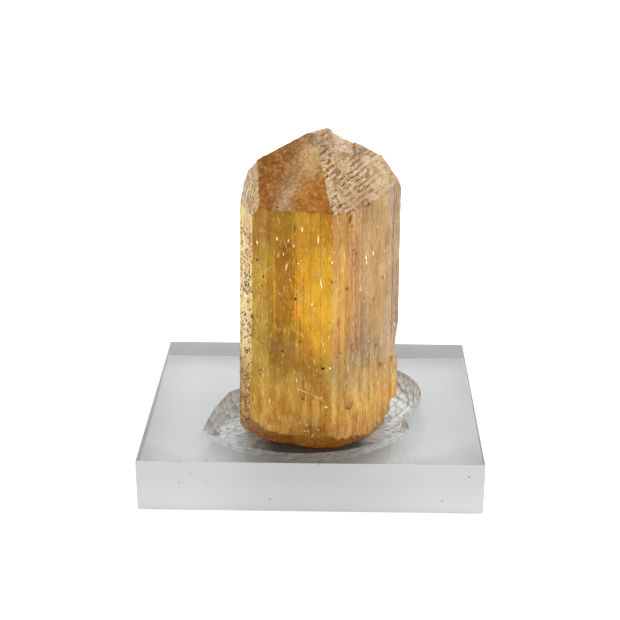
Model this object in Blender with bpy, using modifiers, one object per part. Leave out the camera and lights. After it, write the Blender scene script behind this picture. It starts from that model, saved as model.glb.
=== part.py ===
"""A golden topaz crystal standing upright in a seat ground into a clear acrylic display slab.

Metres, +Z up. The origin is the middle of the slab's underside, and -Y is the side the crystal is shown from.
The crystal is a striated rhombic prism with an etched pyramid on top and a broken foot, grown as one piece.
An azimuth turns from -Y towards +X, and a dip is a face normal's angle from straight up, both in degrees.
"""

import math
import random

import bmesh
import bpy
from mathutils import Matrix, Vector

MM = 0.001
UP = Vector((0.0, 0.0, 1.0))

# The slab: 12 mm cast acrylic sheet, cut 3 by 2.5 inches
SLAB_WIDTH = 76.2 * MM
SLAB_DEPTH = 63.5 * MM
SLAB_THICKNESS = 12.0 * MM
SLAB_EDGE = 0.35 * MM

# The seat's rim in mm, anticlockwise from above: a corner, then the radius and the flute depth of the arc
# that leaves it. A round burr cut each arc as a row of scallops.
SEAT_RIM = (
    (22.3, -14.6, 30.0, 0.35),
    (20.9, -8.2, 16.0, 0.35),
    (25.9, 2.6, 17.3, 0.35),
    (15.0, 19.5, 30.0, 0.35),
    (-17.6, 4.8, 5.5, 0.35),
    (-21.0, 0.9, 70.0, 0.35),
    (-24.8, -16.8, 30.0, 0.15),
)
SEAT_CENTRE = Vector((0.0, -5.0, 0.0))
SEAT_DEPTH = 7.0
SEAT_FLOOR = (21.5, 22.0)
SEAT_FILLET = 2.7
SEAT_SQUARENESS = 3.5
FLUTE_SPACING = 2.4
FLUTE_STEPS = 4
WALL_STEPS = 5

# The crystal stands in the seat with a small clearance
FOOT_GAP = 0.35
FOOT_Z = SLAB_THICKNESS / MM - SEAT_DEPTH + FOOT_GAP

# The prism faces in order round the axis point: azimuth, distance in mm at z = 0, and inward lean in degrees
AXIS = Vector((1.3, -3.0, 0.0))
PRISM_FACES = (
    ("front", -10.5, 13.7, 0.1),
    ("front right", 43.8, 12.65, 0.1),
    ("right, first", 50.5, 12.25, 0.1),
    ("right, second", 55.4, 12.35, 0.1),
    ("right, third", 60.0, 13.1, 0.1),
    ("far right", 107.2, 19.75, 0.4),
    ("back right", 150.6, 15.8, 0.2),
    ("back", 169.3, 13.8, 0.2),
    ("back left", -135.0, 12.9, 0.2),
    ("far left", -116.3, 15.75, 0.8),
    ("left", -67.5, 18.05, 1.05),
    ("front left", -29.2, 15.75, 0.1),
)
PRISM_TOP = 84.0

# The grooves between the striae that run up the prism, in mm
STRIA_SPACING = (0.9, 2.2)
STRIA_WIDTH = (0.25, 0.7)
STRIA_DEPTH = (0.06, 0.26)
STRIA_SEED = 7

# The tip's faces: azimuth, dip, and distance in mm from the axis point
RIGHT_PYRAMID = ("right pyramid", 49.3, 47.8, 51.65)
TIP_FACES = (
    ("front pyramid", -10.9, 44.8, 55.05),
    RIGHT_PYRAMID,
    ("back pyramid", 167.2, 48.0, 55.15),
    ("left pyramid", -136.2, 44.5, 57.0),
    ("left dome", -66.7, 70.0, 37.2),
    ("left shoulder", -92.5, 69.0, 39.4),
    ("right dome", 106.9, 59.7, 49.1),
    ("worn point", -20.0, 4.0, 77.5),
)

# The foot's breaks: azimuth, dip, and how far the break reaches from the middle of the foot at its bottom
FOOT_CENTRE = Vector((1.3, -2.5, FOOT_Z))
FOOT_FACES = (
    ("left", -44.4, 122.0, 13.4),
    ("front left", -33.0, 129.0, 12.1),
    ("front", -13.9, 131.0, 10.1),
    ("front, second", 2.2, 131.0, 10.3),
    ("front right", 35.0, 127.0, 11.1),
    ("right, first", 41.1, 121.0, 11.1),
    ("right, second", 61.8, 106.0, 12.7),
    ("back right", 140.0, 128.0, 12.6),
    ("back", 172.0, 126.0, 12.6),
    ("back left", -140.0, 122.0, 12.2),
)

# Growth steps on the right pyramid face: their runs down the slope, their depth and their turn on the face
STEP_RUNS = (1.9, 1.3, 2.3, 1.5, 1.9, 1.2, 2.6, 1.6, 2.1, 1.4, 2.4, 1.7)
STEP_DEPTH = 0.3
STEP_RISER = 0.14
STEP_TURN = 5.0
STEP_CLEARANCE = 0.02
STEP_MIDDLE = Vector((8.0, -4.0, 68.0))
STEP_HALF_WIDTH = 24.0
STEP_BLOCK_HEIGHT = 6.0

# Chips, each cut by a block that stands on the chip's floor: a point on the floor, the azimuth and dip of the
# floor, the block's turn about the floor's normal, and its width, length and height in mm
CHIPS = (
    ("chip_beside_point", (6.3, 1.9, 75.35), 49.3, 47.8, -28.0, (5.8, 8.0, 5.0)),
    ("worn_right_edge", (19.4, 3.3, 26.0), 84.0, 96.0, 0.0, (9.0, 8.8, 4.0)),
    ("notch_in_right_edge", (20.1, 3.3, 21.7), 84.0, 14.0, 0.0, (8.0, 4.0, 1.1)),
    ("step_under_ledge", (18.6, 3.2, 9.2), 84.0, 88.0, 4.0, (10.0, 4.3, 4.0)),
    ("broken_right_foot", (17.5, 1.8, 5.6), 80.0, 93.0, -6.0, (11.0, 5.0, 4.0)),
)

TOPAZ_COLOUR = (0.66, 0.36, 0.09, 1.0)
TOPAZ_IOR = 1.62
TOPAZ_ROUGHNESS = 0.1
ACRYLIC_COLOUR = (0.84, 0.86, 0.86, 1.0)
ACRYLIC_IOR = 1.49
ACRYLIC_ROUGHNESS = 0.05


def clear_scene():
    for obj in list(bpy.data.objects):
        bpy.data.objects.remove(obj, do_unlink=True)


def new_collection(name):
    collection = bpy.data.collections.new(name)
    bpy.context.scene.collection.children.link(collection)
    return collection


def see_through(name, colour, ior, roughness):
    material = bpy.data.materials.new(name)
    material.use_nodes = True
    shader = material.node_tree.nodes["Principled BSDF"]
    shader.inputs["Base Color"].default_value = colour
    shader.inputs["Metallic"].default_value = 0.0
    shader.inputs["Roughness"].default_value = roughness
    shader.inputs["IOR"].default_value = ior
    shader.inputs["Transmission Weight"].default_value = 1.0
    material.diffuse_color = colour
    return material


def add_object(name, bm, collection, material=None):
    """Turns a bmesh in millimetres into a named object in metres, with its normals out."""
    bmesh.ops.scale(bm, vec=(MM, MM, MM), verts=bm.verts)
    bmesh.ops.recalc_face_normals(bm, faces=bm.faces)
    mesh = bpy.data.meshes.new(name)
    bm.to_mesh(mesh)
    bm.free()
    if material:
        mesh.materials.append(material)
    obj = bpy.data.objects.new(name, mesh)
    collection.objects.link(obj)
    return obj


def add_cutter(name, bm, collection):
    obj = add_object(name, bm, collection)
    obj.hide_render = True
    obj.display_type = "WIRE"
    return obj


def cut(obj, cutter):
    modifier = obj.modifiers.new(cutter.name, "BOOLEAN")
    modifier.operation = "DIFFERENCE"
    modifier.solver = "EXACT"
    modifier.object = cutter


def heading(azimuth):
    """The level unit vector at this azimuth."""
    angle = math.radians(azimuth)
    return Vector((math.sin(angle), -math.cos(angle), 0.0))


def face_normal(azimuth, dip):
    tilt = math.radians(dip)
    return heading(azimuth) * math.sin(tilt) + UP * math.cos(tilt)


def face_matrix(point, azimuth, dip, turn):
    """Axes on a face: X along its level line, Y up its slope and Z along its normal, turned about the normal."""
    normal = face_normal(azimuth, dip)
    level = UP.cross(normal).normalized()
    slope = normal.cross(level)
    axes = Matrix((level, slope, normal)).transposed().to_4x4()
    return Matrix.Translation(point) @ axes @ Matrix.Rotation(math.radians(turn), 4, "Z")


def loft(rings):
    """A closed body through rings of points, with a flat face on the first and on the last."""
    bm = bmesh.new()
    loops = [[bm.verts.new(point) for point in ring] for ring in rings]
    for lower, upper in zip(loops, loops[1:]):
        for i in range(len(lower)):
            j = (i + 1) % len(lower)
            bm.faces.new((lower[i], lower[j], upper[j], upper[i]))
    bm.faces.new(loops[0])
    bm.faces.new(loops[-1])
    bmesh.ops.recalc_face_normals(bm, faces=bm.faces)
    return bm


def slice_off(bm, point, normal):
    """Cuts the closed mesh at a plane, drops what lies beyond it, and closes the cut with one face."""
    geometry = bm.verts[:] + bm.edges[:] + bm.faces[:]
    made = bmesh.ops.bisect_plane(
        bm, geom=geometry, plane_co=point, plane_no=normal, clear_outer=True, dist=1e-5
    )
    rim = [e for e in made["geom_cut"] if isinstance(e, bmesh.types.BMEdge) and e.is_boundary]
    if rim:
        bmesh.ops.edgeloop_fill(bm, edges=rim)


def prism_corner(first, second, height):
    """Where two neighbouring prism faces meet at this height."""
    lines = []
    for _, azimuth, distance, lean in (first, second):
        lines.append((heading(azimuth), distance - height * math.tan(math.radians(lean))))
    (a, reach_a), (b, reach_b) = lines
    across = a.x * b.y - a.y * b.x
    x = (reach_a * b.y - reach_b * a.y) / across
    y = (reach_b * a.x - reach_a * b.x) / across
    return AXIS + Vector((x, y, height))


def striated_outline(height):
    """The prism's outline at this height: straight faces with a groove at each stria."""
    rng = random.Random(STRIA_SEED)
    points = []
    for i, face in enumerate(PRISM_FACES):
        before = PRISM_FACES[i - 1]
        after = PRISM_FACES[(i + 1) % len(PRISM_FACES)]
        start = prism_corner(before, face, height)
        end = prism_corner(face, after, height)
        length = (prism_corner(face, after, 0.0) - prism_corner(before, face, 0.0)).length
        inward = -heading(face[1])
        points.append(start)
        place = rng.uniform(*STRIA_SPACING)
        while True:
            width = rng.uniform(*STRIA_WIDTH)
            depth = rng.uniform(*STRIA_DEPTH)
            if place + width > length - STRIA_WIDTH[0]:
                break
            for share, sink in ((0.0, 0.0), (0.3, depth), (1.0, 0.25 * depth)):
                along = (place + share * width) / length
                points.append(start.lerp(end, along) + inward * sink)
            place += width + rng.uniform(*STRIA_SPACING)
    return points


def crystal_body():
    """The striated prism, cut by the faces of its tip and by the breaks of its foot."""
    bm = loft([striated_outline(FOOT_Z), striated_outline(PRISM_TOP)])
    for _, azimuth, dip, distance in TIP_FACES:
        normal = face_normal(azimuth, dip)
        slice_off(bm, AXIS + normal * distance, normal)
    for _, azimuth, dip, reach in FOOT_FACES:
        slice_off(bm, FOOT_CENTRE + heading(azimuth) * reach, face_normal(azimuth, dip))
    return bm


def growth_step_cutter(collection):
    """A block with a flight of shallow steps for its underside, laid on the right pyramid face."""
    _, azimuth, dip, distance = RIGHT_PYRAMID
    normal = face_normal(azimuth, dip)
    middle = STEP_MIDDLE - normal * (normal.dot(STEP_MIDDLE - AXIS) - distance)
    place = sum(STEP_RUNS) / 2
    profile = [(place, STEP_BLOCK_HEIGHT), (-place, STEP_BLOCK_HEIGHT)]
    place = -place
    for run in STEP_RUNS:
        profile.append((place, STEP_CLEARANCE))
        profile.append((place + STEP_RISER * run, -STEP_DEPTH))
        place += run
    profile.append((place, STEP_CLEARANCE))
    bm = bmesh.new()
    face = bm.faces.new([bm.verts.new((-STEP_HALF_WIDTH, y, z)) for y, z in profile])
    swept = bmesh.ops.extrude_face_region(bm, geom=[face])["geom"]
    far_end = [v for v in swept if isinstance(v, bmesh.types.BMVert)]
    bmesh.ops.translate(bm, vec=(2 * STEP_HALF_WIDTH, 0.0, 0.0), verts=far_end)
    bmesh.ops.transform(bm, matrix=face_matrix(middle, azimuth, dip, STEP_TURN), verts=bm.verts)
    return add_cutter("growth_steps", bm, collection)


def chip_cutter(name, point, azimuth, dip, turn, size, collection):
    bm = bmesh.new()
    stand = Matrix.Translation((0.0, 0.0, 0.5 * size[2]))
    matrix = face_matrix(Vector(point), azimuth, dip, turn) @ stand @ Matrix.Diagonal((*size, 1.0))
    bmesh.ops.create_cube(bm, size=1.0, matrix=matrix)
    return add_cutter(name, bm, collection)


def arc_between(start, end, radius, steps):
    """Points from the start towards the end on an arc that bulges to the right of the way there."""
    chord = end - start
    inward = UP.cross(chord).normalized()
    centre = (start + end) / 2 + inward * math.sqrt(radius**2 - chord.length_squared / 4)
    sweep = 2 * math.asin(chord.length / (2 * radius))
    arm = start - centre
    return [centre + Matrix.Rotation(sweep * i / steps, 3, "Z") @ arm for i in range(steps)]


def seat_rim():
    """The seat's rim as (point, flute phase, flute depth), at even steps along each of its arcs."""
    rim = []
    for i, (x, y, radius, flute_depth) in enumerate(SEAT_RIM):
        next_x, next_y, _, _ = SEAT_RIM[(i + 1) % len(SEAT_RIM)]
        start = Vector((x, y, 0.0))
        end = Vector((next_x, next_y, 0.0))
        flutes = max(round((end - start).length / FLUTE_SPACING), 1)
        steps = flutes * FLUTE_STEPS
        for j, point in enumerate(arc_between(start, end, radius, steps)):
            rim.append((point, j / FLUTE_STEPS, flute_depth))
    return rim


def seat_ring(step):
    """One ring of the seat's wall, from the rim (step 0) to the floor.

    The wall's section is a superellipse. Its scallops stand in rows two steps high, and every second row is
    shifted by half a flute. The cusps between them stand proud of the wall.
    """
    turn = 0.5 * math.pi * step / WALL_STEPS
    power = 2.0 / SEAT_SQUARENESS
    depth = SEAT_DEPTH * math.sin(turn) ** power
    share = max(math.cos(turn), 0.0) ** power
    row, between_rows = divmod(step, 2)
    points = []
    for rim_point, phase, flute_depth in seat_rim():
        arm = rim_point - SEAT_CENTRE
        spoke = arm.normalized()
        floor = 1.0 / math.hypot(spoke.x / SEAT_FLOOR[0], spoke.y / SEAT_FLOOR[1])
        floor = min(floor, arm.length) - SEAT_FILLET
        hollow = 0.0 if between_rows else abs(math.sin(math.pi * (phase + 0.5 * row)))
        reach = floor + (arm.length - floor) * share - flute_depth * (1.0 - hollow)
        point = SEAT_CENTRE + spoke * reach
        point.z = SLAB_THICKNESS / MM - depth
        points.append(point)
    return points


def seat_cutter(collection):
    rings = [seat_ring(step) for step in range(WALL_STEPS + 1)]
    above = [point + UP for point in rings[0]]
    return add_cutter("seat_cutter", loft([above] + rings), collection)


def make_slab(collection, cutters):
    bm = bmesh.new()
    size = Vector((SLAB_WIDTH, SLAB_DEPTH, SLAB_THICKNESS)) / MM
    lift = Matrix.Translation((0.0, 0.0, 0.5 * size.z))
    bmesh.ops.create_cube(bm, size=1.0, matrix=lift @ Matrix.Diagonal((*size, 1.0)))
    material = see_through("clear_acrylic", ACRYLIC_COLOUR, ACRYLIC_IOR, ACRYLIC_ROUGHNESS)
    slab = add_object("acrylic_base", bm, collection, material)
    bevel = slab.modifiers.new("broken edges", "BEVEL")
    bevel.width = SLAB_EDGE
    bevel.segments = 1
    cut(slab, seat_cutter(cutters))


def make_crystal(collection, cutters):
    material = see_through("golden_topaz", TOPAZ_COLOUR, TOPAZ_IOR, TOPAZ_ROUGHNESS)
    crystal = add_object("topaz_crystal", crystal_body(), collection, material)
    cut(crystal, growth_step_cutter(cutters))
    for chip in CHIPS:
        cut(crystal, chip_cutter(*chip, cutters))


def main():
    clear_scene()
    collection = new_collection("topaz_crystal_on_acrylic")
    cutters = new_collection("cutters")
    make_slab(collection, cutters)
    make_crystal(collection, cutters)


main()
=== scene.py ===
"""The looks of the golden topaz crystal and of the clear acrylic slab that it stands in.

Both pieces are built here again as fine meshes from the driving dimensions of the solid model, in mm, and
stand for their nodes. The shapes are cut from planes, every plane is cut up into a fine grid, and each grid
point then moves along its plane's normal by that plane's relief: striae, etch terraces, fracture and wear.
An azimuth turns from -Y towards +X, and a dip is a face normal's angle from straight up, both in degrees.
"""

import bisect
import functools
import math
import random

import bmesh
import bpy
import numpy as np
from mathutils import Matrix, Vector, noise


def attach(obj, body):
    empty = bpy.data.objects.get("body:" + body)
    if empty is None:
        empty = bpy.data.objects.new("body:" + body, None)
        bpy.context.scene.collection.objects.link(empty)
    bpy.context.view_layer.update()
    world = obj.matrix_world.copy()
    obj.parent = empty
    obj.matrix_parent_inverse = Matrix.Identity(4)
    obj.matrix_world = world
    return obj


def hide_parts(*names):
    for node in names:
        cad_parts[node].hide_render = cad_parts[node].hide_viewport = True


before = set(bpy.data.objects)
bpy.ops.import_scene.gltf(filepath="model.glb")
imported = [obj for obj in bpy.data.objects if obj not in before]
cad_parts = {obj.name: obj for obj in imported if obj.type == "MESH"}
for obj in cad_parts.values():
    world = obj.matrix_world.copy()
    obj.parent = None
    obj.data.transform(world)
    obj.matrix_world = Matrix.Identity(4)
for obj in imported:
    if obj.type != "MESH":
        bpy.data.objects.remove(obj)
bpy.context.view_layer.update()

# Metres in a mm, how near two points are one in mm, the gap under the slab in mm, and a sharp edge's angle
MM = 0.001
UP = Vector((0, 0, 1))
TOUCH = 2e-4
FLOOR_GAP = 0.1
SHARP_ANGLE = 35

# The camera that fits the photo, in metres, degrees and mm, and the photo's size in pixels
CAMERA_PLACE = (0.006497, -0.28537, 0.155654)
CAMERA_PITCH = 22.952
CAMERA_YAW = 1.461
CAMERA_LENS = 77.51
SENSOR = 36
PHOTO_SIZE = 620

# The slab and its seat, as in the solid model. A corner of the rim is x, y, the radius of the arc to the next
# corner, and how deep the scallops are along that arc.
SLAB_WIDTH = 76.2
SLAB_DEPTH = 63.5
SLAB_THICKNESS = 12
SLAB_EDGE = 0.14
SEAT_RIM = (
    (22.3, -14.6, 30, 0.35), (20.9, -8.2, 16, 0.35), (25.9, 2.6, 17.3, 0.35), (15, 19.5, 30, 0.35),
    (-17.6, 4.8, 5.5, 0.35), (-21, 0.9, 70, 0.35), (-24.8, -16.8, 30, 0.15),
)
SEAT_CENTRE = Vector((0, -5, 0))
SEAT_DEPTH = 7
SEAT_FLOOR = (21.5, 22)
SEAT_FILLET = 2.7
SEAT_SQUARENESS = 3.5
SCALLOP = 2.4
SCALLOP_REACH = 0.62
SCALLOP_JITTER = (0.44, 0.4)
SCALLOP_SIZE = (0.75, 1.25)
SEAT_STEP = 0.24
WALL_RINGS = 30
FLOOR_RINGS = 12

# The crystal, as in the solid model. A prism face is its name, azimuth, distance from the axis, and lean.
FOOT_Z = 5.35
AXIS = Vector((1.3, -3, 0))
PRISM_FACES = (
    ("front", -10.5, 13.7, 0.1),
    ("front right", 43.8, 12.65, 0.1),
    ("right, first", 50.5, 12.25, 0.1),
    ("right, second", 55.4, 12.35, 0.1),
    ("right, third", 60, 13.1, 0.1),
    ("far right", 107.2, 19.75, 0.4),
    ("back right", 150.6, 15.8, 0.2),
    ("back", 169.3, 13.8, 0.2),
    ("back left", -135, 12.9, 0.2),
    ("far left", -116.3, 15.75, 0.8),
    ("left", -67.5, 18.05, 1.05),
    ("front left", -29.2, 15.75, 0.1),
)
PRISM_TOP = 84
STRIA_SPACING = (0.9, 2.2)
STRIA_WIDTH = (0.25, 0.7)
STRIA_DEPTH = (0.06, 0.26)
STRIA_SEED = 7

# A tip face is its name, azimuth, dip and distance. A foot face ends with its reach from the foot's centre.
TIP_FACES = (
    ("front pyramid", -10.9, 44.8, 55.05),
    ("right pyramid", 49.3, 47.8, 51.65),
    ("back pyramid", 167.2, 48, 55.15),
    ("left pyramid", -136.2, 44.5, 57),
    ("left dome", -66.7, 70, 37.2),
    ("left shoulder", -92.5, 69, 39.4),
    ("right dome", 106.9, 59.7, 49.1),
    ("worn point", -20, 4, 77.5),
)
FOOT_CENTRE = Vector((1.3, -2.5, FOOT_Z))
FOOT_FACES = (
    ("foot left", -44.4, 122, 13.4),
    ("foot front left", -33, 129, 12.1),
    ("foot front", -13.9, 131, 10.1),
    ("foot front, second", 2.2, 131, 10.3),
    ("foot front right", 35, 127, 11.1),
    ("foot right, first", 41.1, 121, 11.1),
    ("foot right, second", 61.8, 106, 12.7),
    ("foot back right", 140, 128, 12.6),
    ("foot back", 172, 126, 12.6),
    ("foot back left", -140, 122, 12.2),
)
STEP_RUNS = (1.9, 1.3, 2.3, 1.5, 1.9, 1.2, 2.6, 1.6, 2.1, 1.4, 2.4, 1.7)
STEP_DEPTH = 0.3
STEP_RISER = 0.14
STEP_TURN = 5
STEP_MIDDLE = Vector((8, -4, 68))

# A chip is cut by a block: the middle of its inner face, azimuth, dip, turn and size
CHIPS = (
    ((6.3, 1.9, 75.35), 49.3, 47.8, -28, (5.8, 8, 5)),
    ((19.4, 3.3, 26), 84, 96, 0, (9, 8.8, 4)),
    ((20.1, 3.3, 21.7), 84, 14, 0, (8, 4, 1.1)),
    ((18.6, 3.2, 9.2), 84, 88, 4, (10, 4.3, 4)),
    ((17.5, 1.8, 5.6), 80, 93, -6, (11, 5, 4)),
)

# How finely each kind of face is cut up, in mm: along its level line and up its slope
PRISM_COLUMN = 0.34
COLUMN_GAP = 0.06
PRISM_RING = 0.55
BACK_RING = 1.4
BACK_GRID = (0.6, 0.6)
FINE_GRID = (0.2, 0.17)
TIP_GRID = (0.36, 0.34)
FOOT_GRID = (0.38, 0.36)
FINE_FACES = ("front pyramid", "right pyramid", "worn point")

# Fine striae between the solid model's grooves, in mm
FINE_SPACING = (0.05, 0.85)
FINE_WIDTH = (0.16, 0.5)
FINE_DEPTH = (0.008, 0.05)
FINE_SEED = 31
DASH_DEPTH = 0.04
SWELL_DEPTH = 0.05
STRIA_SHARE = 0.6

# Noises on the prism: scale per mm, octaves and shift
SWELL = ((0.16, 0.16, 0.05), 3, 0)
DASHES = ((1.7, 1.7, 0.6), 3, 4)
NICKS = ((1.1, 1.1, 0.9), 2, 8)

# How far reliefs stand out in mm, then the right pyramid's plates: pitch, length and seed, and their depths
LIFT = 0.14
PLATE_TURN = 12
LARGE_PLATES = (1.15, 1.9, 3)
SMALL_PLATES = (0.6, 1.1, 8)
LARGE_SINK = 0.34
SMALL_SINK = 0.16

# Other reliefs: level, then noises as depth in mm, scale per mm, octaves, shift and whether it is folded
FLOW_TURN = -38
ROUGHNESS = {
    "etched": (LIFT - 0.1, ((0.09, 1.1, 2, 5, False), (0.07, 2.6, 3, 9, True))),
    "tip": (LIFT - 0.14, ((0.11, (1.5, 1.5, 0.3), 3, 3, False), (0.12, 0.7, 3, 7, False))),
    "foot": (-0.2, (
        (0.22, (0.35, 0.35, 0.5), 3, 4, False),
        (0.16, (1.5, 1.5, 0.9), 3, 6, False),
        (0.2, (0.9, 0.9, 0.6), 2, 8, True),
    )),
    "chip": (-0.1, ((0.12, 0.5, 2, 4, False), (0.07, 1.8, 3, 6, False))),
}

# Wear where planes meet: least in mm and what noise adds, a full edge's angle, and a point's longest move
EDGE_WEAR = (0.03, 0.2)
FULL_EDGE = 40
DAMPING = 0.06
LONGEST_MOVE = 0.7

# How each face looks, from 0 to 1. It gets painted shade where its relief tilts it by this many degrees.
STEEP = (12, 40)
STEEP_SHARE = {"prism": 0.3, "tip": 0.8, "foot": 0.25, "chip": 0.35, "underside": 0}
RIGHT_NAMES = ("right, first", "right, second", "right, third")
ETCHING = {
    "right pyramid": 1, "front pyramid": 0.8, "worn point": 0.8, "chip": 0.6,
    "left dome": 0.5, "left shoulder": 0.5, "right dome": 0.6,
}
FROSTING = {
    **dict.fromkeys(RIGHT_NAMES, 0.27),
    "right pyramid": 0.6, "front pyramid": 0.45, "worn point": 0.55, "chip": 0.6,
    "left dome": 0.5, "left shoulder": 0.5, "right dome": 0.5, "left": 0.88,
    "front": 0.22, "front left": 0.3, "front right": 0.26, "far right": 0.34,
}
PALENESS = {
    **dict.fromkeys(RIGHT_NAMES, 0.85),
    "right pyramid": 1, "right dome": 0.9, "chip": 1, "worn point": 0.9,
    "left dome": 0.8, "left shoulder": 0.8, "front right": 0.6, "far right": 0.7,
}

# Soft spots of colour on the front: x, z, width and height in mm
AMBER_SMUDGE = (1, 12, 5.5, 2.8)
ORANGE_GLOW = (-3, 41, 0.8, 2.4)

# Needles and healed cracks inside the crystal: how many, how far under its faces, dips, widths, thickness,
# heights, most turn, and the axis that seeds the outline. They are tried in a box in mm.
CAVITY_SEED = 5
CAVITIES = (
    (160, 1.5, None, (0.08, 0.16), 0.06, (1.5, 8), 3, 0),
    (260, 1.2, (35, 90), (0.2, 1.1), 0.05, (0.3, 1.4), 60, 2),
)
CRYSTAL_SPAN = ((-17, 20), (-17, 12), (7, 76))

# Inclusions, placed by where they show in the photo: its pixel, width and height in pixels, and depth in
# hundredths of a mm. A sixth value is the flake's turn in degrees.
PIXEL = 0.225
MARK_THICKNESS = 0.14
MARK_LIFT = 0.06
STAINS = (
    (350.5, 219, 4.5, 9, 1), (347.5, 213.5, 3, 3, 1), (352, 225.5, 2.5, 4, 0.8), (354, 250, 2.2, 2.6, 0.9),
    (356.5, 253.5, 2.6, 2, 1.1), (352.5, 255, 2, 2, 1), (346.9, 288.9, 4.2, 3, 0.8),
    (332.2, 282, 2.4, 3.4, 1), (379.5, 364, 3, 6, 0.8), (374, 299, 2.2, 4, 0.8), (376, 345, 3, 4, 0.9),
    (329.5, 160.5, 3.6, 3, 0.7), (325.5, 146, 4, 2, 0.6), (308.4, 212.4, 4, 1.6, 0.7),
    (314, 211.6, 3, 1.4, 0.7),
)
TAN_STAINS = (
    (358.6, 239, 6, 3.4, 1.2), (355, 244, 2.5, 3, 1.2), (352.8, 346.5, 6.5, 9, 1.5),
    (350, 405.5, 12, 7, 1.4), (346.8, 387, 1.6, 9, 1), (343.2, 394.5, 1.4, 9, 1), (338.6, 322, 4, 8, 1),
    (357, 259, 7, 5, 1), (353.5, 265, 5, 4, 1),
)
SPECKS = (
    (257.2, 259.6, 1.8, 2.8, 0.6), (263.3, 276.5, 1.2, 2.8, 0.7), (262.3, 285.7, 1.4, 1.6, 0.7),
    (265.2, 298, 1.4, 2, 0.8), (267.5, 324.7, 1.6, 2.2, 0.8), (257.6, 338.8, 1.5, 1.5, 0.6),
    (299.5, 341.5, 1.5, 2.2, 0.8), (282.2, 351, 2.4, 1.5, 0.8), (260.4, 369.8, 1.2, 2.6, 0.6),
    (259.5, 374.5, 1.4, 1.4, 0.6), (323, 368.5, 4.4, 2.4, 0.8), (303, 399, 1.8, 1.6, 0.8),
    (322.4, 389.7, 1.3, 1.3, 0.8), (337.3, 357.5, 1.5, 1.5, 0.8), (295.5, 299, 2, 3, 1.2),
    (382.7, 277, 1.4, 2.4, 0.6), (365.8, 260.2, 1.3, 2.6, 0.6), (355, 253, 1.2, 1.2, 0.7),
    (277.2, 207.5, 1.6, 1.4, 0.6),
)
FLASHES = (
    (246, 230.3, 2.4, 4, 0.6), (257.2, 242.4, 1.3, 5, 0.6), (277, 238.4, 1.4, 4, 0.8),
    (288.3, 240.7, 1.2, 3, 1), (293.7, 246, 1.2, 3, 1), (302.3, 229.2, 1.8, 6, 1),
    (318.4, 239.5, 1.2, 9, 1.4), (298.3, 263.4, 1.8, 2, 1), (332.2, 262.5, 1.6, 2.6, 0.8),
    (321.3, 284.3, 1.4, 12, 1.2), (312, 304.4, 1.8, 3, 1), (366, 260, 1.8, 10, 0.8),
    (373, 253, 1.2, 5, 0.7), (360.9, 287.7, 1, 8, 0.8), (269.6, 402, 1.9, 9, 0.8),
    (265.6, 415, 1.3, 7, 0.7), (279.4, 418, 1, 7, 1), (325.9, 407.5, 3.6, 4, 1), (333.3, 407, 2.4, 3, 1),
    (321.9, 397.7, 1.3, 2.2, 0.8), (296.6, 380.5, 1.2, 5, 1), (380.4, 405.8, 1.8, 5, 0.7),
    (387, 388.6, 1.4, 5, 0.6), (329.9, 368.5, 1.8, 3, 0.7), (312.7, 436, 2.4, 4, 0.8),
    (307, 425.3, 3, 4, 1.2), (303, 391, 16, 0.6, 0.6, -20), (318, 398, 18, 0.6, 0.6, -26),
    (283.5, 254, 0.9, 4, 0.6, 8), (286.5, 267, 1, 7, 0.6, -14), (290.5, 280, 0.8, 3, 0.6, 24),
    (306, 431, 8, 0.8, 0.6, 10), (317, 429, 7, 0.8, 0.6, -24), (299, 424, 0.8, 7, 0.6, 6),
    (313, 426, 0.8, 6, 0.6, 14), (322, 434, 0.8, 6, 0.6, -8),
)

# Patches of flakes by chance: faces, how many, lowest and highest z, width, height and depth in mm
FLAKE_THICKNESS = 0.06
RIGHT_FACES = (*RIGHT_NAMES, "far right")
FRONT_FACES = ("front left", "front", "front right")
BACK_FACES = ("back right", "back", "back left", "far left")
FOOT_NAMES = tuple(face[0] for face in FOOT_FACES)
DOMES = ("left dome", "left shoulder")
STAIN_PATCHES = (
    (RIGHT_FACES, 26, 14, 56, (0.15, 0.5), (0.2, 0.6), (0.15, 0.5)),
    (BACK_FACES, 30, 10, 56, (0.2, 0.9), (0.3, 1.2), (0.2, 0.8)),
    (FRONT_FACES, 16, 10, 56, (0.15, 0.4), (0.2, 0.8), (0.2, 0.8)),
    (("front pyramid", "right pyramid"), 14, 50, 76, (0.2, 0.6), (0.15, 0.4), (0.1, 0.3)),
)
SPECK_PATCHES = (
    (("left",), 420, 9, 58, (0.4, 1.5), (0.16, 0.5), (-0.04, 0)),
    (("left",), 150, 9, 26, (0.4, 1.2), (0.16, 0.4), (-0.04, 0)),
    (FRONT_FACES, 50, 8, 54, (0.12, 0.3), (0.15, 0.5), (0.1, 0.6)),
    (RIGHT_FACES, 22, 8, 54, (0.12, 0.3), (0.15, 0.4), (0.1, 0.6)),
    (BACK_FACES, 60, 8, 54, (0.12, 0.4), (0.15, 0.5), (0.1, 0.6)),
    (("front pyramid",), 20, 50, 72, (0.15, 0.4), (0.1, 0.3), (0.05, 0.2)),
)
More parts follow.
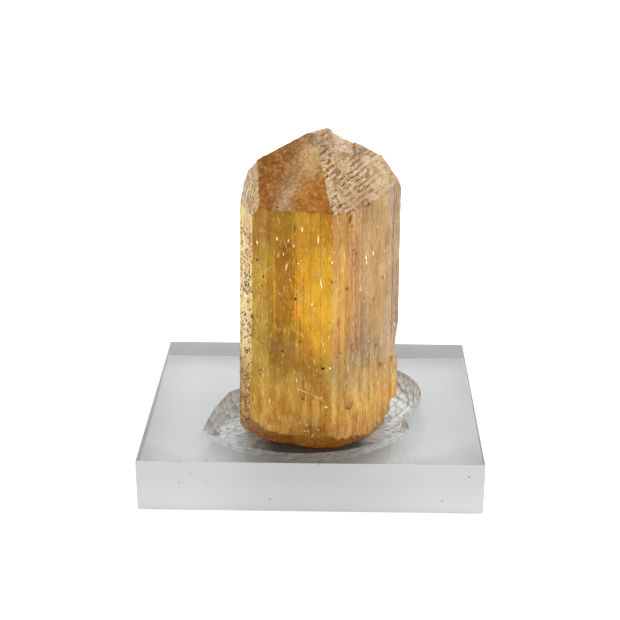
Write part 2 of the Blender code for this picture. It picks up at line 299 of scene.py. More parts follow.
GLINT_PATCHES = (
    (("left",), 60, 9, 56, (0.3, 0.9), (0.3, 0.8), (-0.03, 0)),
    (DOMES, 60, 50, 70, (0.2, 0.5), (0.5, 2.2), (-0.02, 0.1)),
    (FRONT_FACES, 130, 8, 55, (0.1, 0.2), (0.3, 2.4), (-0.01, 0.3)),
    (RIGHT_FACES, 120, 8, 52, (0.1, 0.2), (0.2, 1.6), (-0.01, 0.3)),
    (BACK_FACES, 120, 8, 55, (0.1, 0.3), (0.4, 2.4), (-0.01, 0.4)),
    (FRONT_FACES, 50, 7, 17, (0.1, 0.3), (0.12, 0.6), (-0.01, 0.3)),
    (FOOT_NAMES, 380, 5, 17, (0.1, 0.3), (0.1, 0.4), (-0.02, 0.1)),
    (("front pyramid", "worn point"), 60, 50, 78, (0.12, 0.3), (0.1, 0.25), (-0.02, 0.1)),
)
HAZE_PATCHES = (
    (("right pyramid",), 120, 50, 78, (0.3, 1.1), (0.1, 0.22), (-0.02, 0.02)),
    (DOMES, 90, 50, 70, (0.2, 0.6), (0.5, 2), (-0.02, 0.05)),
    (("worn point", "chip"), 150, 66, 78, (0.2, 0.6), (0.2, 0.6), (-0.01, 0.05)),
    (("chip",), 160, 66, 78, (0.3, 0.9), (0.15, 0.5), (-0.03, 0.02)),
)

# Dust on the slab, placed as the inclusions are, with its width in pixels
DUST_SEED = 11
DUST_THICKNESS = 0.08
DUST = (
    (179, 462, 1.6), (179, 482, 1.3), (207, 461, 1.5), (207, 482, 1.3), (190, 474, 1.6), (270, 499, 1.8),
    (319, 465, 1.6), (442, 501, 2.2), (469, 477, 1.8),
)

# The materials, with colours as linear red, green and blue
TOPAZ_IOR = 1.62
TOPAZ_GLOSS = (0.3, 0.22, 0.12)
TOPAZ_DENSITY = 120
TOPAZ_ABSORPTION = (0.94, 0.8, 0.09)
ACRYLIC_IOR = 1.49
ACRYLIC_DENSITY = 6
ACRYLIC_ABSORPTION = (0.55, 0.6, 0.6)
INCLUSION_IOR = 1.03
WHITE = (1, 1, 1)
GOLD = ((0.58, 0.34, 0.04), (0.86, 0.68, 0.1))
BEIGE = ((0.4, 0.25, 0.12), (0.56, 0.42, 0.26))
AMBER = ((0.26, 0.08, 0.012), (0.42, 0.18, 0.025))
ORANGE = ((0.95, 0.43, 0.07), (1, 0.58, 0.14))
VEIL = (0.62, 0.5, 0.2)
GROOVE_BROWN = (0.22, 0.085, 0.018)
# Painted shade for steep relief and the right pyramid's risers
PAINTED_RISER_SHADE = (0.13, 0.06, 0.012)
# Painted sheen on light dashes and specks, for golden, amber and pale faces
PAINTED_GOLD_SHEEN = (1, 0.78, 0.26)
PAINTED_AMBER_SHEEN = (0.62, 0.32, 0.07)
PAINTED_PALE_SHEEN = (0.78, 0.64, 0.5)
RED_BROWN = (0.34, 0.08, 0.03)
BROWN = (0.22, 0.07, 0.02)
NEAR_BLACK = (0.012, 0.008, 0.005)
DARK_BROWN = (0.05, 0.022, 0.006)
PALE_BROWN = (0.5, 0.36, 0.24)
PALE_PINK = (0.85, 0.74, 0.62)
TAN = (0.42, 0.22, 0.09)
DEEP_TAN = (0.32, 0.15, 0.05)
GLINTS = ((1, 0.84, 0.5), (1, 0.74, 0.36))
# The glints' faint glow is painted light
GLINT_GLOW = 0.08
DUST_GREY = (0.12, 0.12, 0.12)
CLEAR = (0.8, 0.815, 0.81)
# The sawn edges' grey, and a lighter tone of painted light near their bottom
SAWN_GREY_AND_PAINTED_LIGHT = ((0.69, 0.7, 0.695), (0.78, 0.785, 0.78))
# Painted shade for the back edge and the seat's left side
PAINTED_SHADE_GREY = (0.5, 0.51, 0.51)
GROUND = ((0.72, 0.75, 0.76), (0.9, 0.93, 0.93))
# Painted shade and painted light for the seat's hollows
PAINTED_HOLLOW_SHADE = (0.26, 0.28, 0.285)
PAINTED_HOLLOW_LIGHT = (0.98, 1, 1)
FROST_GREY = (0.4, 0.41, 0.4)
# Painted shade along the seat's ridges
PAINTED_RIDGE_SHADE = (0.2, 0.21, 0.21)
# A painted shadow on the seat's floor in front of the crystal
SHADED_FLOOR = (0.04, 0.05, 0.05)
# The floor's white, and its painted shade far in front
STAGE_TONES = ((0.3, 0.3, 0.3), (0.95, 0.95, 0.95))

# Each kind of inclusion: name, its two colours and noise scale per metre, marks, patches, tip and seed
INCLUSIONS = (
    ("red_stains", (RED_BROWN, BROWN, 260), STAINS, STAIN_PATCHES, 20, 3),
    ("tan_stains", (TAN, DEEP_TAN, 900), TAN_STAINS, (), 0, 13),
    ("black_specks", (NEAR_BLACK, DARK_BROWN, 900), SPECKS, SPECK_PATCHES, 4, 4),
    ("pale_haze", (PALE_PINK, PALE_BROWN, 4000), (), HAZE_PATCHES, 10, 8),
    ("glints", None, FLASHES, GLINT_PATCHES, 38, 6),
)

# The studio: azimuths from +Y towards +X with their brightness, and the brightness overhead
STUDIO = (
    (-180, 0.4), (-152, 0.4), (-144, 2.4), (-124, 2.4), (-116, 0.35), (-84, 0.35), (-70, 1.1), (56, 1.1),
    (64, 0.35), (76, 0.35), (82, 3.2), (104, 3.2), (110, 0.4), (136, 0.4), (144, 1.8), (156, 1.8),
    (164, 0.4), (180, 0.4),
)
OVERHEAD = 1.6
OVERHEAD_START = (0.7, 0.85)
FLOOR_HALF = 4
BOUNCES = 24
GLOSSY_BOUNCES = 12


def heading(azimuth):
    angle = math.radians(azimuth)
    return Vector((math.sin(angle), -math.cos(angle), 0))


def face_normal(azimuth, dip):
    tilt = math.radians(dip)
    return heading(azimuth) * math.sin(tilt) + UP * math.cos(tilt)


def face_axes(normal):
    """The level line and the line up the slope on a face with this normal."""
    level = UP.cross(normal)
    if level.length < 1e-3:
        level = Vector((1, 0, 0))
    level.normalize()
    return level, normal.cross(level)


def face_matrix(point, azimuth, dip, turn):
    normal = face_normal(azimuth, dip)
    level, slope = face_axes(normal)
    axes = Matrix((level, slope, normal)).transposed().to_4x4()
    return Matrix.Translation(point) @ axes @ Matrix.Rotation(math.radians(turn), 4, "Z")


def loft(rings):
    """A closed body through rings of points, with a flat face on the first and on the last."""
    bm = bmesh.new()
    loops = [[bm.verts.new(point) for point in ring] for ring in rings]
    for lower, upper in zip(loops, loops[1:]):
        for i in range(len(lower)):
            j = (i + 1) % len(lower)
            bm.faces.new((lower[i], lower[j], upper[j], upper[i]))
    bm.faces.new(loops[0])
    bm.faces.new(loops[-1])
    bmesh.ops.recalc_face_normals(bm, faces=bm.faces)
    return bm


def slice_off(bm, point, normal):
    geometry = bm.verts[:] + bm.edges[:] + bm.faces[:]
    made = bmesh.ops.bisect_plane(
        bm, geom=geometry, plane_co=point, plane_no=normal, clear_outer=True, dist=TOUCH
    )
    rim = [e for e in made["geom_cut"] if isinstance(e, bmesh.types.BMEdge) and e.is_boundary]
    if rim:
        bmesh.ops.edgeloop_fill(bm, edges=rim)


def object_from(name, bm):
    """Turns a bmesh in millimetres into an object that is still in millimetres."""
    mesh = bpy.data.meshes.new(name)
    bm.to_mesh(mesh)
    bm.free()
    obj = bpy.data.objects.new(name, mesh)
    bpy.context.scene.collection.objects.link(obj)
    return obj


def cut_with(obj, cutters):
    """Cuts each cutter away from the object, then removes the cutters and the modifiers."""
    for cutter in cutters:
        modifier = obj.modifiers.new(cutter.name, "BOOLEAN")
        modifier.operation = "DIFFERENCE"
        modifier.solver = "EXACT"
        modifier.object = cutter
    graph = bpy.context.evaluated_depsgraph_get()
    mesh = bpy.data.meshes.new_from_object(obj.evaluated_get(graph))
    obj.modifiers.clear()
    obj.data = mesh
    for cutter in cutters:
        bpy.data.objects.remove(cutter, do_unlink=True)


def dress(obj, material, sharp=False):
    """Turns a finished object into metres, and gives it smooth shading and its material."""
    obj.data.transform(Matrix.Diagonal((MM, MM, MM, 1)))
    obj.data.shade_smooth()
    if sharp:
        obj.data.set_sharp_from_angle(angle=math.radians(SHARP_ANGLE))
    obj.data.materials.append(material)


def fractal(point, octaves=3):
    return noise.fractal(point, 1, 2, octaves)


def noise_at(points, scale, octaves=3, shift=0):
    """Fractal noise at each point of an array. The scale is per mm, for all axes or one for each."""
    places = points * np.array(scale) + shift
    return np.array([fractal(Vector(place), octaves) for place in places])


def noise_on(across, up, scale, octaves, shift):
    """Fractal noise over a face's own coordinates, with one scale across and one up."""
    return noise_at(np.stack((across, up, 0 * up), axis=1), (*scale, 1), octaves, shift)


def ramp(value, start, end, low=0, high=1):
    """How far a value is on its way from start to end, held between low and high."""
    return min(max((value - start) / (end - start), low), high)


def spot(x, z, place):
    """1 in the middle of a soft spot, and less away from it. Its place is its x, z, width and height."""
    middle_x, middle_z, width, height = place
    return math.exp(-(((x - middle_x) / width) ** 2) - ((z - middle_z) / height) ** 2)


# The prism's outline


def corner_line(first, second):
    """The edge between two neighbouring prism faces, as its point at z = 0 and its step for each mm up."""
    ends = []
    for height in (0, 1):
        lines = []
        for _, azimuth, distance, lean in (first, second):
            lines.append((heading(azimuth), distance - height * math.tan(math.radians(lean))))
        (a, reach_a), (b, reach_b) = lines
        across = a.x * b.y - a.y * b.x
        x = (reach_a * b.y - reach_b * a.y) / across
        y = (reach_b * a.x - reach_a * b.x) / across
        ends.append(AXIS + Vector((x, y, height)))
    return ends[0], ends[1] - ends[0]


class PrismSide:
    """One prism face: its two edges and the striae on it."""

    def __init__(self, i, coarse_rng, fine_rng):
        face = PRISM_FACES[i]
        before = PRISM_FACES[i - 1]
        after = PRISM_FACES[(i + 1) % len(PRISM_FACES)]
        self.start, self.start_step = corner_line(before, face)
        self.end, self.end_step = corner_line(face, after)
        self.length = (self.end - self.start).length
        self.grooves = []
        self.add_grooves(coarse_rng, STRIA_SPACING, STRIA_WIDTH, STRIA_DEPTH, 0.25)
        self.add_grooves(fine_rng, FINE_SPACING, FINE_WIDTH, FINE_DEPTH, 0)
        self.columns = self.column_places()

    def add_grooves(self, rng, spacing, width_range, depth_range, left_over):
        place = rng.uniform(*spacing)
        while True:
            width = rng.uniform(*width_range)
            depth = rng.uniform(*depth_range)
            if place + width > self.length - width_range[0]:
                break
            self.grooves.append((place, width, depth, left_over))
            place += width + rng.uniform(*spacing)

    def column_places(self):
        """Where the columns stand: at the corners of the grooves, and between them where there is room."""
        keys = {0, self.length}
        for place, width, _, _ in self.grooves:
            keys.update((place, place + 0.3 * width, place + width))
        kept = [0]
        for key in sorted(keys)[1:]:
            if key - kept[-1] > COLUMN_GAP:
                kept.append(key)
        kept[-1] = self.length
        columns = []
        for low, high in zip(kept, kept[1:]):
            parts = max(math.ceil((high - low) / PRISM_COLUMN), 1)
            columns.extend(low + (high - low) * k / parts for k in range(parts))
        return columns

    def outline(self, height):
        start = self.start + self.start_step * height
        end = self.end + self.end_step * height
        return [start.lerp(end, place / self.length) for place in self.columns]

    def along(self, points):
        """How far along the face each point is, in mm as measured at z = 0."""
        z = points[:, 2:3]
        start = np.array(self.start) + np.array(self.start_step) * z
        end = np.array(self.end) + np.array(self.end_step) * z
        way = end - start
        share = ((points - start) * way).sum(axis=1) / (way * way).sum(axis=1)
        return share * self.length

    def relief(self, points):
        along = self.along(points)
        z = points[:, 2]
        sink = np.zeros(len(points))
        for k, (place, width, depth, left_over) in enumerate(self.grooves):
            share = (along - place) / width
            inside = (share > -0.02) & (share < 1.02)
            if not inside.any():
                continue
            profile = np.interp(share[inside], (0, 0.3, 1), (0, 1, left_over))
            fade = 1 if left_over else groove_fade(z[inside], k + place)
            sink[inside] += depth * profile * fade * (STRIA_SHARE if left_over else 1)
        swell = noise_at(points, *SWELL)
        dashes = noise_at(points, *DASHES)
        nicks = noise_at(points, *NICKS)
        pits = np.clip(6 * (dashes - 0.12), 0, 1) + np.clip(7 * (nicks - 0.3), 0, 1)
        return 0.5 * LIFT - sink - SWELL_DEPTH * (0.5 + swell) - DASH_DEPTH * pits


def groove_fade(z, seed):
    """A fine stria's depth varies up the face, and some striae stop and start."""
    wave = np.sin(0.11 * z + 2.3 * seed) + 0.7 * np.sin(0.31 * z + 5.1 * seed)
    return np.clip(0.55 + 0.6 * wave, 0, 1.4)


def prism_sides():
    coarse_rng = random.Random(STRIA_SEED)
    fine_rng = random.Random(FINE_SEED)
    return [PrismSide(i, coarse_rng, fine_rng) for i in range(len(PRISM_FACES))]


# Relief of the other faces, in mm along the face's normal


def turned(points, normal, turn):
    """Coordinates on a face: along its level line and up its slope, both turned about the normal."""
    level, slope = face_axes(normal)
    angle = math.radians(turn)
    across = level * math.cos(angle) + slope * math.sin(angle)
    up = normal.cross(across)
    return points @ np.array(across), points @ np.array(up)


def cell_random(*cells):
    """A number from 0 to 1 for each cell."""
    mixed = np.zeros(len(cells[0]))
    for k, cell in enumerate(cells):
        mixed = mixed + cell * (12.9898, 78.233, 37.719)[k]
    value = np.sin(mixed) * 43758.5453
    return value - np.floor(value)


def plates(across, up, pitch, length, seed):
    """Short plates in rows: how high each one stands, and how far up its row a point is, from 0 to 1."""
    wobble = 0.1 * np.sin(0.9 * across + seed) + 0.06 * np.sin(2.3 * across + 1.7 * up + seed)
    rows = up / pitch + wobble
    row = np.floor(rows)
    start = across / length + cell_random(row, row * 0 + seed) * 7
    cell = np.floor(start)
    inside = start - cell
    height = cell_random(row, cell, row * 0 + seed)
    ends = np.clip(np.minimum(inside, 1 - inside) * 7, 0, 1)
    return height * ends, rows - row


def plate_rows(points, normal):
    """Coordinates along and up the rows of plates, then the large plates and the small ones."""
    across, up = turned(points, normal, PLATE_TURN)
    return across, up, plates(across, up, *LARGE_PLATES), plates(across + 0.5, up, *SMALL_PLATES)


def painted_riser_shading(points, normal):
    """Where the right pyramid's plates get painted shade on the risers at their foot, from 0 to 1."""
    across, up, (large, rise), (small, small_rise) = plate_rows(points, normal)
    patchy = noise_on(across, up, (0.22, 0.22), 2, 6)
    smooth = np.clip(1.6 - 0.08 * (points[:, 0] - 4), 0, 1)
    dark = np.maximum((large > 0.3) * (rise < 0.4), 0.8 * (small > 0.5) * (small_rise < 0.45))
    dark = np.maximum(dark, 0.9 * (large < 0.1))
    return dark * np.clip(1.15 + 2.2 * patchy, 0, 1) * smooth


def terrace_relief(points, normal):
    """The right pyramid's terraces and plates."""
    _, azimuth, dip, distance = TIP_FACES[1]
    middle = STEP_MIDDLE - normal * (normal.dot(STEP_MIDDLE - AXIS) - distance)
    inverse = face_matrix(middle, azimuth, dip, STEP_TURN).inverted()
    local = points @ np.array(inverse.to_3x3()).T + np.array(inverse.translation)
    place = -sum(STEP_RUNS) / 2
    keys, sinks = [place], [0]
    for run in STEP_RUNS:
        keys.extend((place + 0.01, place + STEP_RISER * run, place + run))
        sinks.extend((0, -STEP_DEPTH, 0))
        place += run
    terraces = np.interp(local[:, 1], keys, sinks)
    across, up, (large, rise), (small, small_rise) = plate_rows(points, normal)
    smooth = np.clip(0.95 - 0.1 * (local[:, 0] + 2), 0.2, 1)
    rough = noise_at(points, 1.6)
    patchy = noise_on(across, up, (0.3, 0.9), 2, 4)
    terraces *= np.clip(0.35 + 1.3 * patchy, 0, 0.8)
    sink = LARGE_SINK * large * (1 - rise) + SMALL_SINK * small * (1 - small_rise)
    return LIFT + terraces - smooth * sink - 0.04 * (1 + rough)


def rough_relief(points, kind):
    level, layers = ROUGHNESS[kind]
    relief = np.full(len(points), level)
    for depth, scale, octaves, shift, folded in layers:
        wave = noise_at(points, scale, octaves, shift)
        relief = relief - depth * (np.abs(wave) if folded else wave)
    return relief


def etched_relief(points, normal):
    """Bumps and pits with flow lines across the front pyramid and the worn point."""
    across, up = turned(points, normal, FLOW_TURN)
    return rough_relief(points, "etched") - 0.06 * noise_on(across, up, (0.5, 2), 3, 2)


# The crystal's planes and its grid


class Plane:
    def __init__(self, name, kind, normal, distance):
        self.name = name
        self.kind = kind
        self.normal = normal.normalized()
        self.distance = distance
        self.side = None

    def holds(self, normal, point):
        off = self.normal.dot(point - AXIS) - self.distance
        return self.normal.dot(normal) > 0.99999 and abs(off) < 0.01


def crystal_planes(sides):
    planes = []
    for face, side in zip(PRISM_FACES, sides):
        name, azimuth, distance, lean = face
        normal = heading(azimuth) + UP * math.tan(math.radians(lean))
        plane = Plane(name, "prism", normal, distance / normal.length)
        plane.side = side
        planes.append(plane)
    for name, azimuth, dip, distance in TIP_FACES:
        planes.append(Plane(name, "tip", face_normal(azimuth, dip), distance))
    for name, azimuth, dip, reach in FOOT_FACES:
        normal = face_normal(azimuth, dip)
        point = FOOT_CENTRE + heading(azimuth) * reach
        planes.append(Plane(name, "foot", normal, normal.dot(point - AXIS)))
    planes.append(Plane("underside", "underside", -UP, -FOOT_Z))
    return planes


@functools.cache
def smooth_planes():
    """The crystal's planes without their striae."""
    return crystal_planes([None] * len(PRISM_FACES))


def crystal_block(sides):
    """The prism with its columns, cut by its tip's faces, its foot's breaks and its chips."""
    rings = []
    for height in (FOOT_Z, PRISM_TOP):
        rings.append([point for side in sides for point in side.outline(height)])
    bm = loft(rings)
    for _, azimuth, dip, distance in TIP_FACES:
        normal = face_normal(azimuth, dip)
        slice_off(bm, AXIS + normal * distance, normal)
    for _, azimuth, dip, reach in FOOT_FACES:
        slice_off(bm, FOOT_CENTRE + heading(azimuth) * reach, face_normal(azimuth, dip))
    block = object_from("crystal_block", bm)
    cutters = []
    for point, azimuth, dip, turn, size in CHIPS:
        cutter = bmesh.new()
        stand = Matrix.Translation((0, 0, 0.5 * size[2]))
        matrix = face_matrix(Vector(point), azimuth, dip, turn) @ stand @ Matrix.Diagonal((*size, 1))
        bmesh.ops.create_cube(cutter, size=1, matrix=matrix)
        cutters.append(object_from("chip_cutter", cutter))
    cut_with(block, cutters)
    return block


class Patchwork:
    """Flat faces that stay joined edge to edge while they are cut up, each with its plane's index."""

    def __init__(self, mesh, planes):
        bm = bmesh.new()
        bm.from_mesh(mesh)
        bmesh.ops.connect_verts_concave(bm, faces=bm.faces[:])
        bm.normal_update()
        bm.verts.index_update()
        self.points = [tuple(vert.co) for vert in bm.verts]
        self.splits = {}
        self.loops = {}
        for face in bm.faces:
            index = plane_of(face.normal, face.calc_center_median(), planes)
            self.loops.setdefault(index, []).append([vert.index for vert in face.verts])
        bm.free()

    def between(self, a, b):
        """The points that other cuts have put between two neighbours."""
        middle = self.splits.get((min(a, b), max(a, b)))
        if middle is None:
            return []
        return [*self.between(a, middle), middle, *self.between(middle, b)]

    def expanded(self, loop):
        full = []
        for a, b in zip(loop, loop[1:] + loop[:1]):
            full += [a, *self.between(a, b)]
        return full

    def halve(self, loop, place):
        """The face's part below the cut and its part above it. Each point comes with its reach."""
        below, above = [], []
        for (a, reach), (b, next_reach) in zip(loop, loop[1:] + loop[:1]):
            off, next_off = reach - place, next_reach - place
            if off < TOUCH:
                below.append((a, reach))
            if off > -TOUCH:
                above.append((a, reach))
            if (off <= -TOUCH and next_off >= TOUCH) or (off >= TOUCH and next_off <= -TOUCH):
                share = off / (off - next_off)
                start, end = self.points[a], self.points[b]
                self.points.append(tuple(p + (q - p) * share for p, q in zip(start, end)))
                middle = len(self.points) - 1
                self.splits[(min(a, b), max(a, b))] = middle
                below.append((middle, place))
                above.append((middle, place))
        return below, above

    def cut(self, index, normal, spacing):
        """Cuts one plane's faces along parallel planes that stand this far apart."""
        x, y, z = normal
        pieces = []
        for loop in self.loops[index]:
            loop = self.expanded(loop)
            reaches = [x * p[0] + y * p[1] + z * p[2] for p in (self.points[i] for i in loop)]
            first = math.floor(min(reaches) / spacing) + 1
            last = math.ceil(max(reaches) / spacing) - 1
            self.cut_between(list(zip(loop, reaches)), spacing, first, last, pieces)
        self.loops[index] = pieces

    def cut_between(self, loop, spacing, first, last, pieces):
        """Halves the face at the middle one of its cutting planes, then each half in turn."""
        if first > last:
            pieces.append([i for i, _ in loop])
            return
        reaches = [reach for _, reach in loop]
        middle = (first + last) // 2
        place = middle * spacing
        if place < min(reaches) + TOUCH:
            self.cut_between(loop, spacing, middle + 1, last, pieces)
        elif place > max(reaches) - TOUCH:
            self.cut_between(loop, spacing, first, middle - 1, pieces)
        else:
            below, above = self.halve(loop, place)
            self.cut_between(below, spacing, first, middle - 1, pieces)
            self.cut_between(above, spacing, middle + 1, last, pieces)

    def to_bmesh(self):
        """The joined faces as triangles, and the layer that holds each one's plane."""
        bm = bmesh.new()
        layer = bm.faces.layers.int.new("plane")
        verts = [bm.verts.new(point) for point in self.points]
        for index, loops in self.loops.items():
            for loop in loops:
                face = bm.faces.new([verts[i] for i in self.expanded(loop)])
                face[layer] = index
        bmesh.ops.triangulate(bm, faces=bm.faces[:])
        return bm, layer


def plane_of(normal, point, planes):
    """The index of the plane that a face lies on. A chip's face adds its own plane to the list."""
    for i, plane in enumerate(planes):
        if plane.holds(normal, point):
            return i
    planes.append(Plane("chip", "chip", normal.copy(), normal.dot(point - AXIS)))
    return len(planes) - 1


def grid_up(patchwork, planes):
    """Cuts every face but the underside into a grid."""
    for i in sorted(patchwork.loops):
        plane = planes[i]
        if plane.kind == "underside":
            continue
        hidden = plane.normal.y > 0.3
        if plane.kind == "prism":
            patchwork.cut(i, UP, BACK_RING if hidden else PRISM_RING)
            continue
        along, up = BACK_GRID if hidden else TIP_GRID
        if plane.name in FINE_FACES:
            along, up = FINE_GRID
        elif plane.kind in ("foot", "chip") and not hidden:
            along, up = FOOT_GRID
        level, slope = face_axes(plane.normal)
        patchwork.cut(i, slope, up)
        patchwork.cut(i, level, along)


def relief_of(plane, points):
    if plane.kind == "underside":
        return np.zeros(len(points))
    if plane.kind == "prism":
        return plane.side.relief(points)
    if plane.name == "right pyramid":
        return terrace_relief(points, plane.normal)
    if plane.name in FINE_FACES:
        return etched_relief(points, plane.normal)
    return rough_relief(points, plane.kind)


def displace(bm, planes, layer):
    """Moves each point to where the planes that meet there, each shifted by its relief, meet again."""
    groups = {}
    for vert in bm.verts:
        key = tuple(sorted({f[layer] for f in vert.link_faces}))
        groups.setdefault(key, []).append(vert)
    for key, verts in groups.items():
        points = np.array([vert.co for vert in verts], float)
        normals = np.array([planes[i].normal for i in key], float)
        heights = np.stack([relief_of(planes[i], points) for i in key], axis=1)
        if len(key) > 1:
            spread = np.degrees(np.arccos(np.clip((normals @ normals.T).min(), -1, 1)))
            wear = np.clip(noise_at(points, 0.8, 3, 1), 0, 1)
            worn = EDGE_WEAR[0] + EDGE_WEAR[1] * wear[:, None] ** 2
            heights = heights - min(spread / FULL_EDGE, 1) * worn
        damped = normals @ normals.T + DAMPING * np.eye(len(key))
        moves = heights @ np.linalg.inv(damped).T @ normals
        if len(key) == 1:
            moves *= 1 + DAMPING
        length = np.linalg.norm(moves, axis=1, keepdims=True)
        moves *= np.minimum(1, LONGEST_MOVE / np.maximum(length, 1e-9))
        for vert, move in zip(verts, moves):
            vert.co += Vector(move)


def mark(bm, name, planes, layer, share):
    """Stores a number from 0 to 1 on each face, by the plane that it lies on."""
    values = bm.faces.layers.float.new(name)
    for face in bm.faces:
        face[values] = share(planes[face[layer]], face.calc_center_median())


def mark_steep(bm, planes, layer):
    """Stores where each face gets painted shade: how far its relief tilts it, and the right pyramid's risers.
    """
    values = bm.faces.layers.float.new("steep")
    stepped = []
    for face in bm.faces:
        plane = planes[face[layer]]
        tilt = math.degrees(face.normal.angle(plane.normal, 0))
        face[values] = ramp(tilt, *STEEP) * STEEP_SHARE[plane.kind]
        if plane.name == "right pyramid":
            stepped.append(face)
    normal = planes[stepped[0][layer]].normal
    centres = np.array([face.calc_center_median() for face in stepped])
    for face, dark in zip(stepped, painted_riser_shading(centres, normal)):
        face[values] = max(0.3 * face[values], dark)


def etching(plane, centre):
    """How far each face is etched, which sets its roughness."""
    if plane.kind == "prism":
        return 0.4 if plane.normal.y > 0.3 else 0.12
    return ETCHING.get(plane.name, 0.22 if plane.kind == "foot" else 0.5)


def frosting(plane, centre):
    """How far each face's fine cracks and etch scatter the light. The prism's two ends scatter more."""
    share = FROSTING.get(plane.name, 0.4 if plane.kind == "foot" else 0.22)
    if plane.kind != "prism" or plane.name == "left":
        return share
    low = ramp(centre.z, 32, 18)
    high = ramp(centre.z + 1.5 * fractal(centre * 0.6), 53, 57)
    return share + 0.38 * low + 0.16 * high * (plane.name not in RIGHT_NAMES)


def paleness(plane, centre):
    """The crystal's right side looks pale and its front golden, with a pale band down its front pyramid."""
    if plane.name != "front pyramid":
        return PALENESS.get(plane.name, 0)
    above = max(centre.z - 66, 0)
    band = (0.8 * above - 6, 0, 0.35 * above + 1.8, 1)
    return 0.95 * ramp(centre.z, 54, 64, 0.2) * spot(centre.x, 0, band)


def ambering(plane, centre):
    """How far a face is amber brown instead of golden."""
    ragged = 3 * fractal(Vector((centre.x, centre.y, 0.3 * centre.z)) * 0.5)
    if plane.name in ("front pyramid", "left pyramid"):
        return ramp(centre.z + ragged, 56, 63, 0.4)
    if plane.kind == "prism" and plane.name != "left" and plane.normal.y < 0:
        smudge = spot(centre.x, centre.z + 0.6 * ragged, AMBER_SMUDGE)
        return 0.7 * max(ramp(centre.z + ragged, 51.5, 57.5, 0, 0.8), smudge)
    return {"left": 0.35, "worn point": 0.5}.get(plane.name, 0)


def lowness(plane, centre):
    """How near each face is to the broken foot, which looks orange. The front also has one orange glow."""
    low = ramp(centre.z - 3 * fractal(centre * 0.3), 31, 13, 0, 0.85)
    glow = 0.95 * spot(centre.x, centre.z, ORANGE_GLOW) if plane.name == "front" else 0
    return max(low, glow)


LOOKS = {"etched": etching, "frosted": frosting, "pale": paleness, "amber": ambering, "low": lowness}


def make_crystal():
    sides = prism_sides()
    planes = crystal_planes(sides)
    block = crystal_block(sides)
    patchwork = Patchwork(block.data, planes)
    bpy.data.objects.remove(block, do_unlink=True)
    grid_up(patchwork, planes)
    bm, layer = patchwork.to_bmesh()
    bm.normal_update()
    for name, share in LOOKS.items():
        mark(bm, name, planes, layer, share)
    displace(bm, planes, layer)
    bm.normal_update()
    mark_steep(bm, planes, layer)
    spots = surface_spots(bm, planes, layer)
    add_cavities(bm)
    crystal = object_from("crystal", bm)
    dress(crystal, topaz_material(), True)
    return crystal, spots


# The inclusions


def photo_ray(x, y):
    """The camera's place in mm, and its ray through a pixel of the photo."""
    pitch, yaw = math.radians(CAMERA_PITCH), math.radians(CAMERA_YAW)
    ahead = Vector((-math.sin(yaw) * math.cos(pitch), math.cos(yaw) * math.cos(pitch), -math.sin(pitch)))
    right = Vector((math.cos(yaw), math.sin(yaw), 0))
    up = right.cross(ahead)
    focal = CAMERA_LENS / SENSOR * PHOTO_SIZE
    half = 0.5 * PHOTO_SIZE
    ray = ahead + right * ((x - half) / focal) + up * ((half - y) / focal)
    return Vector(CAMERA_PLACE) / MM, ray.normalized()


def inside_point(x, y, depth):
    """The point this far under the crystal's surface that shows at a pixel, and its face's normal."""
    eye, ray = photo_ray(x, y)
    entry, normal = 0, UP
    for plane in smooth_planes():
        facing = ray.dot(plane.normal)
        if facing < -1e-6:
            distance = (plane.distance - plane.normal.dot(eye - AXIS)) / facing
            if distance > entry:
                entry, normal = distance, plane.normal
    cosine = -ray.dot(normal)
    bent = ray / TOPAZ_IOR
    bent -= normal * (math.sqrt(1 - (1 - cosine**2) / TOPAZ_IOR**2) - cosine / TOPAZ_IOR)
    return eye + ray * entry + bent * (depth / -bent.dot(normal)), normal


def surface_spots(bm, planes, layer):
    """For each plane's name, the middle of each small face on it and the plane's normal."""
    spots = {}
    for face in bm.faces:
        plane = planes[face[layer]]
        spots.setdefault(plane.name, []).append((face.calc_center_median(), plane.normal))
    return spots


def add_flake(bm, point, normal, size, turn, seed, detail=1, ragged=1.1):
    """A thin flake with a ragged outline. Its size is across, along the normal, and up the slope."""
    made = bmesh.ops.create_icosphere(bm, subdivisions=detail, radius=0.5)
    level, slope = face_axes(normal)
    spin = Matrix.Rotation(math.radians(turn), 3, normal)
    for vert in made["verts"]:
        reach = 0.9 + ragged * noise.noise(vert.co * 3.6 + Vector((seed, 0, 0)))
        across, out, up = (reach * c * extent for c, extent in zip(vert.co, size))
        vert.co = point + spin @ (level * across + normal * out + slope * up)


def random_inside(rng, margin):
    """A point inside the crystal, at least this far under its planes."""
    while True:
        point = Vector([rng.uniform(*span) for span in CRYSTAL_SPAN])
        if all(plane.normal.dot(point - AXIS) < plane.distance - margin for plane in smooth_planes()):
            return point


def add_cavities(bm):
    """Adds the hollows, with their faces turned inwards."""
    rng = random.Random(CAVITY_SEED)
    hollow = bmesh.new()
    for count, margin, dips, widths, thickness, heights, turn, axis in CAVITIES:
        for _ in range(count):
            place = random_inside(rng, margin)
            azimuth = rng.uniform(-180, 180)
            normal = face_normal(azimuth, rng.uniform(*dips)) if dips else heading(azimuth)
            size = (rng.uniform(*widths), thickness, rng.uniform(*heights))
            add_flake(hollow, place, normal, size, rng.uniform(-turn, turn), place[axis])
    bmesh.ops.reverse_faces(hollow, faces=hollow.faces)
    mesh = bpy.data.meshes.new("cavities")
    hollow.to_mesh(mesh)
    hollow.free()
    bm.from_mesh(mesh)
    bpy.data.meshes.remove(mesh)


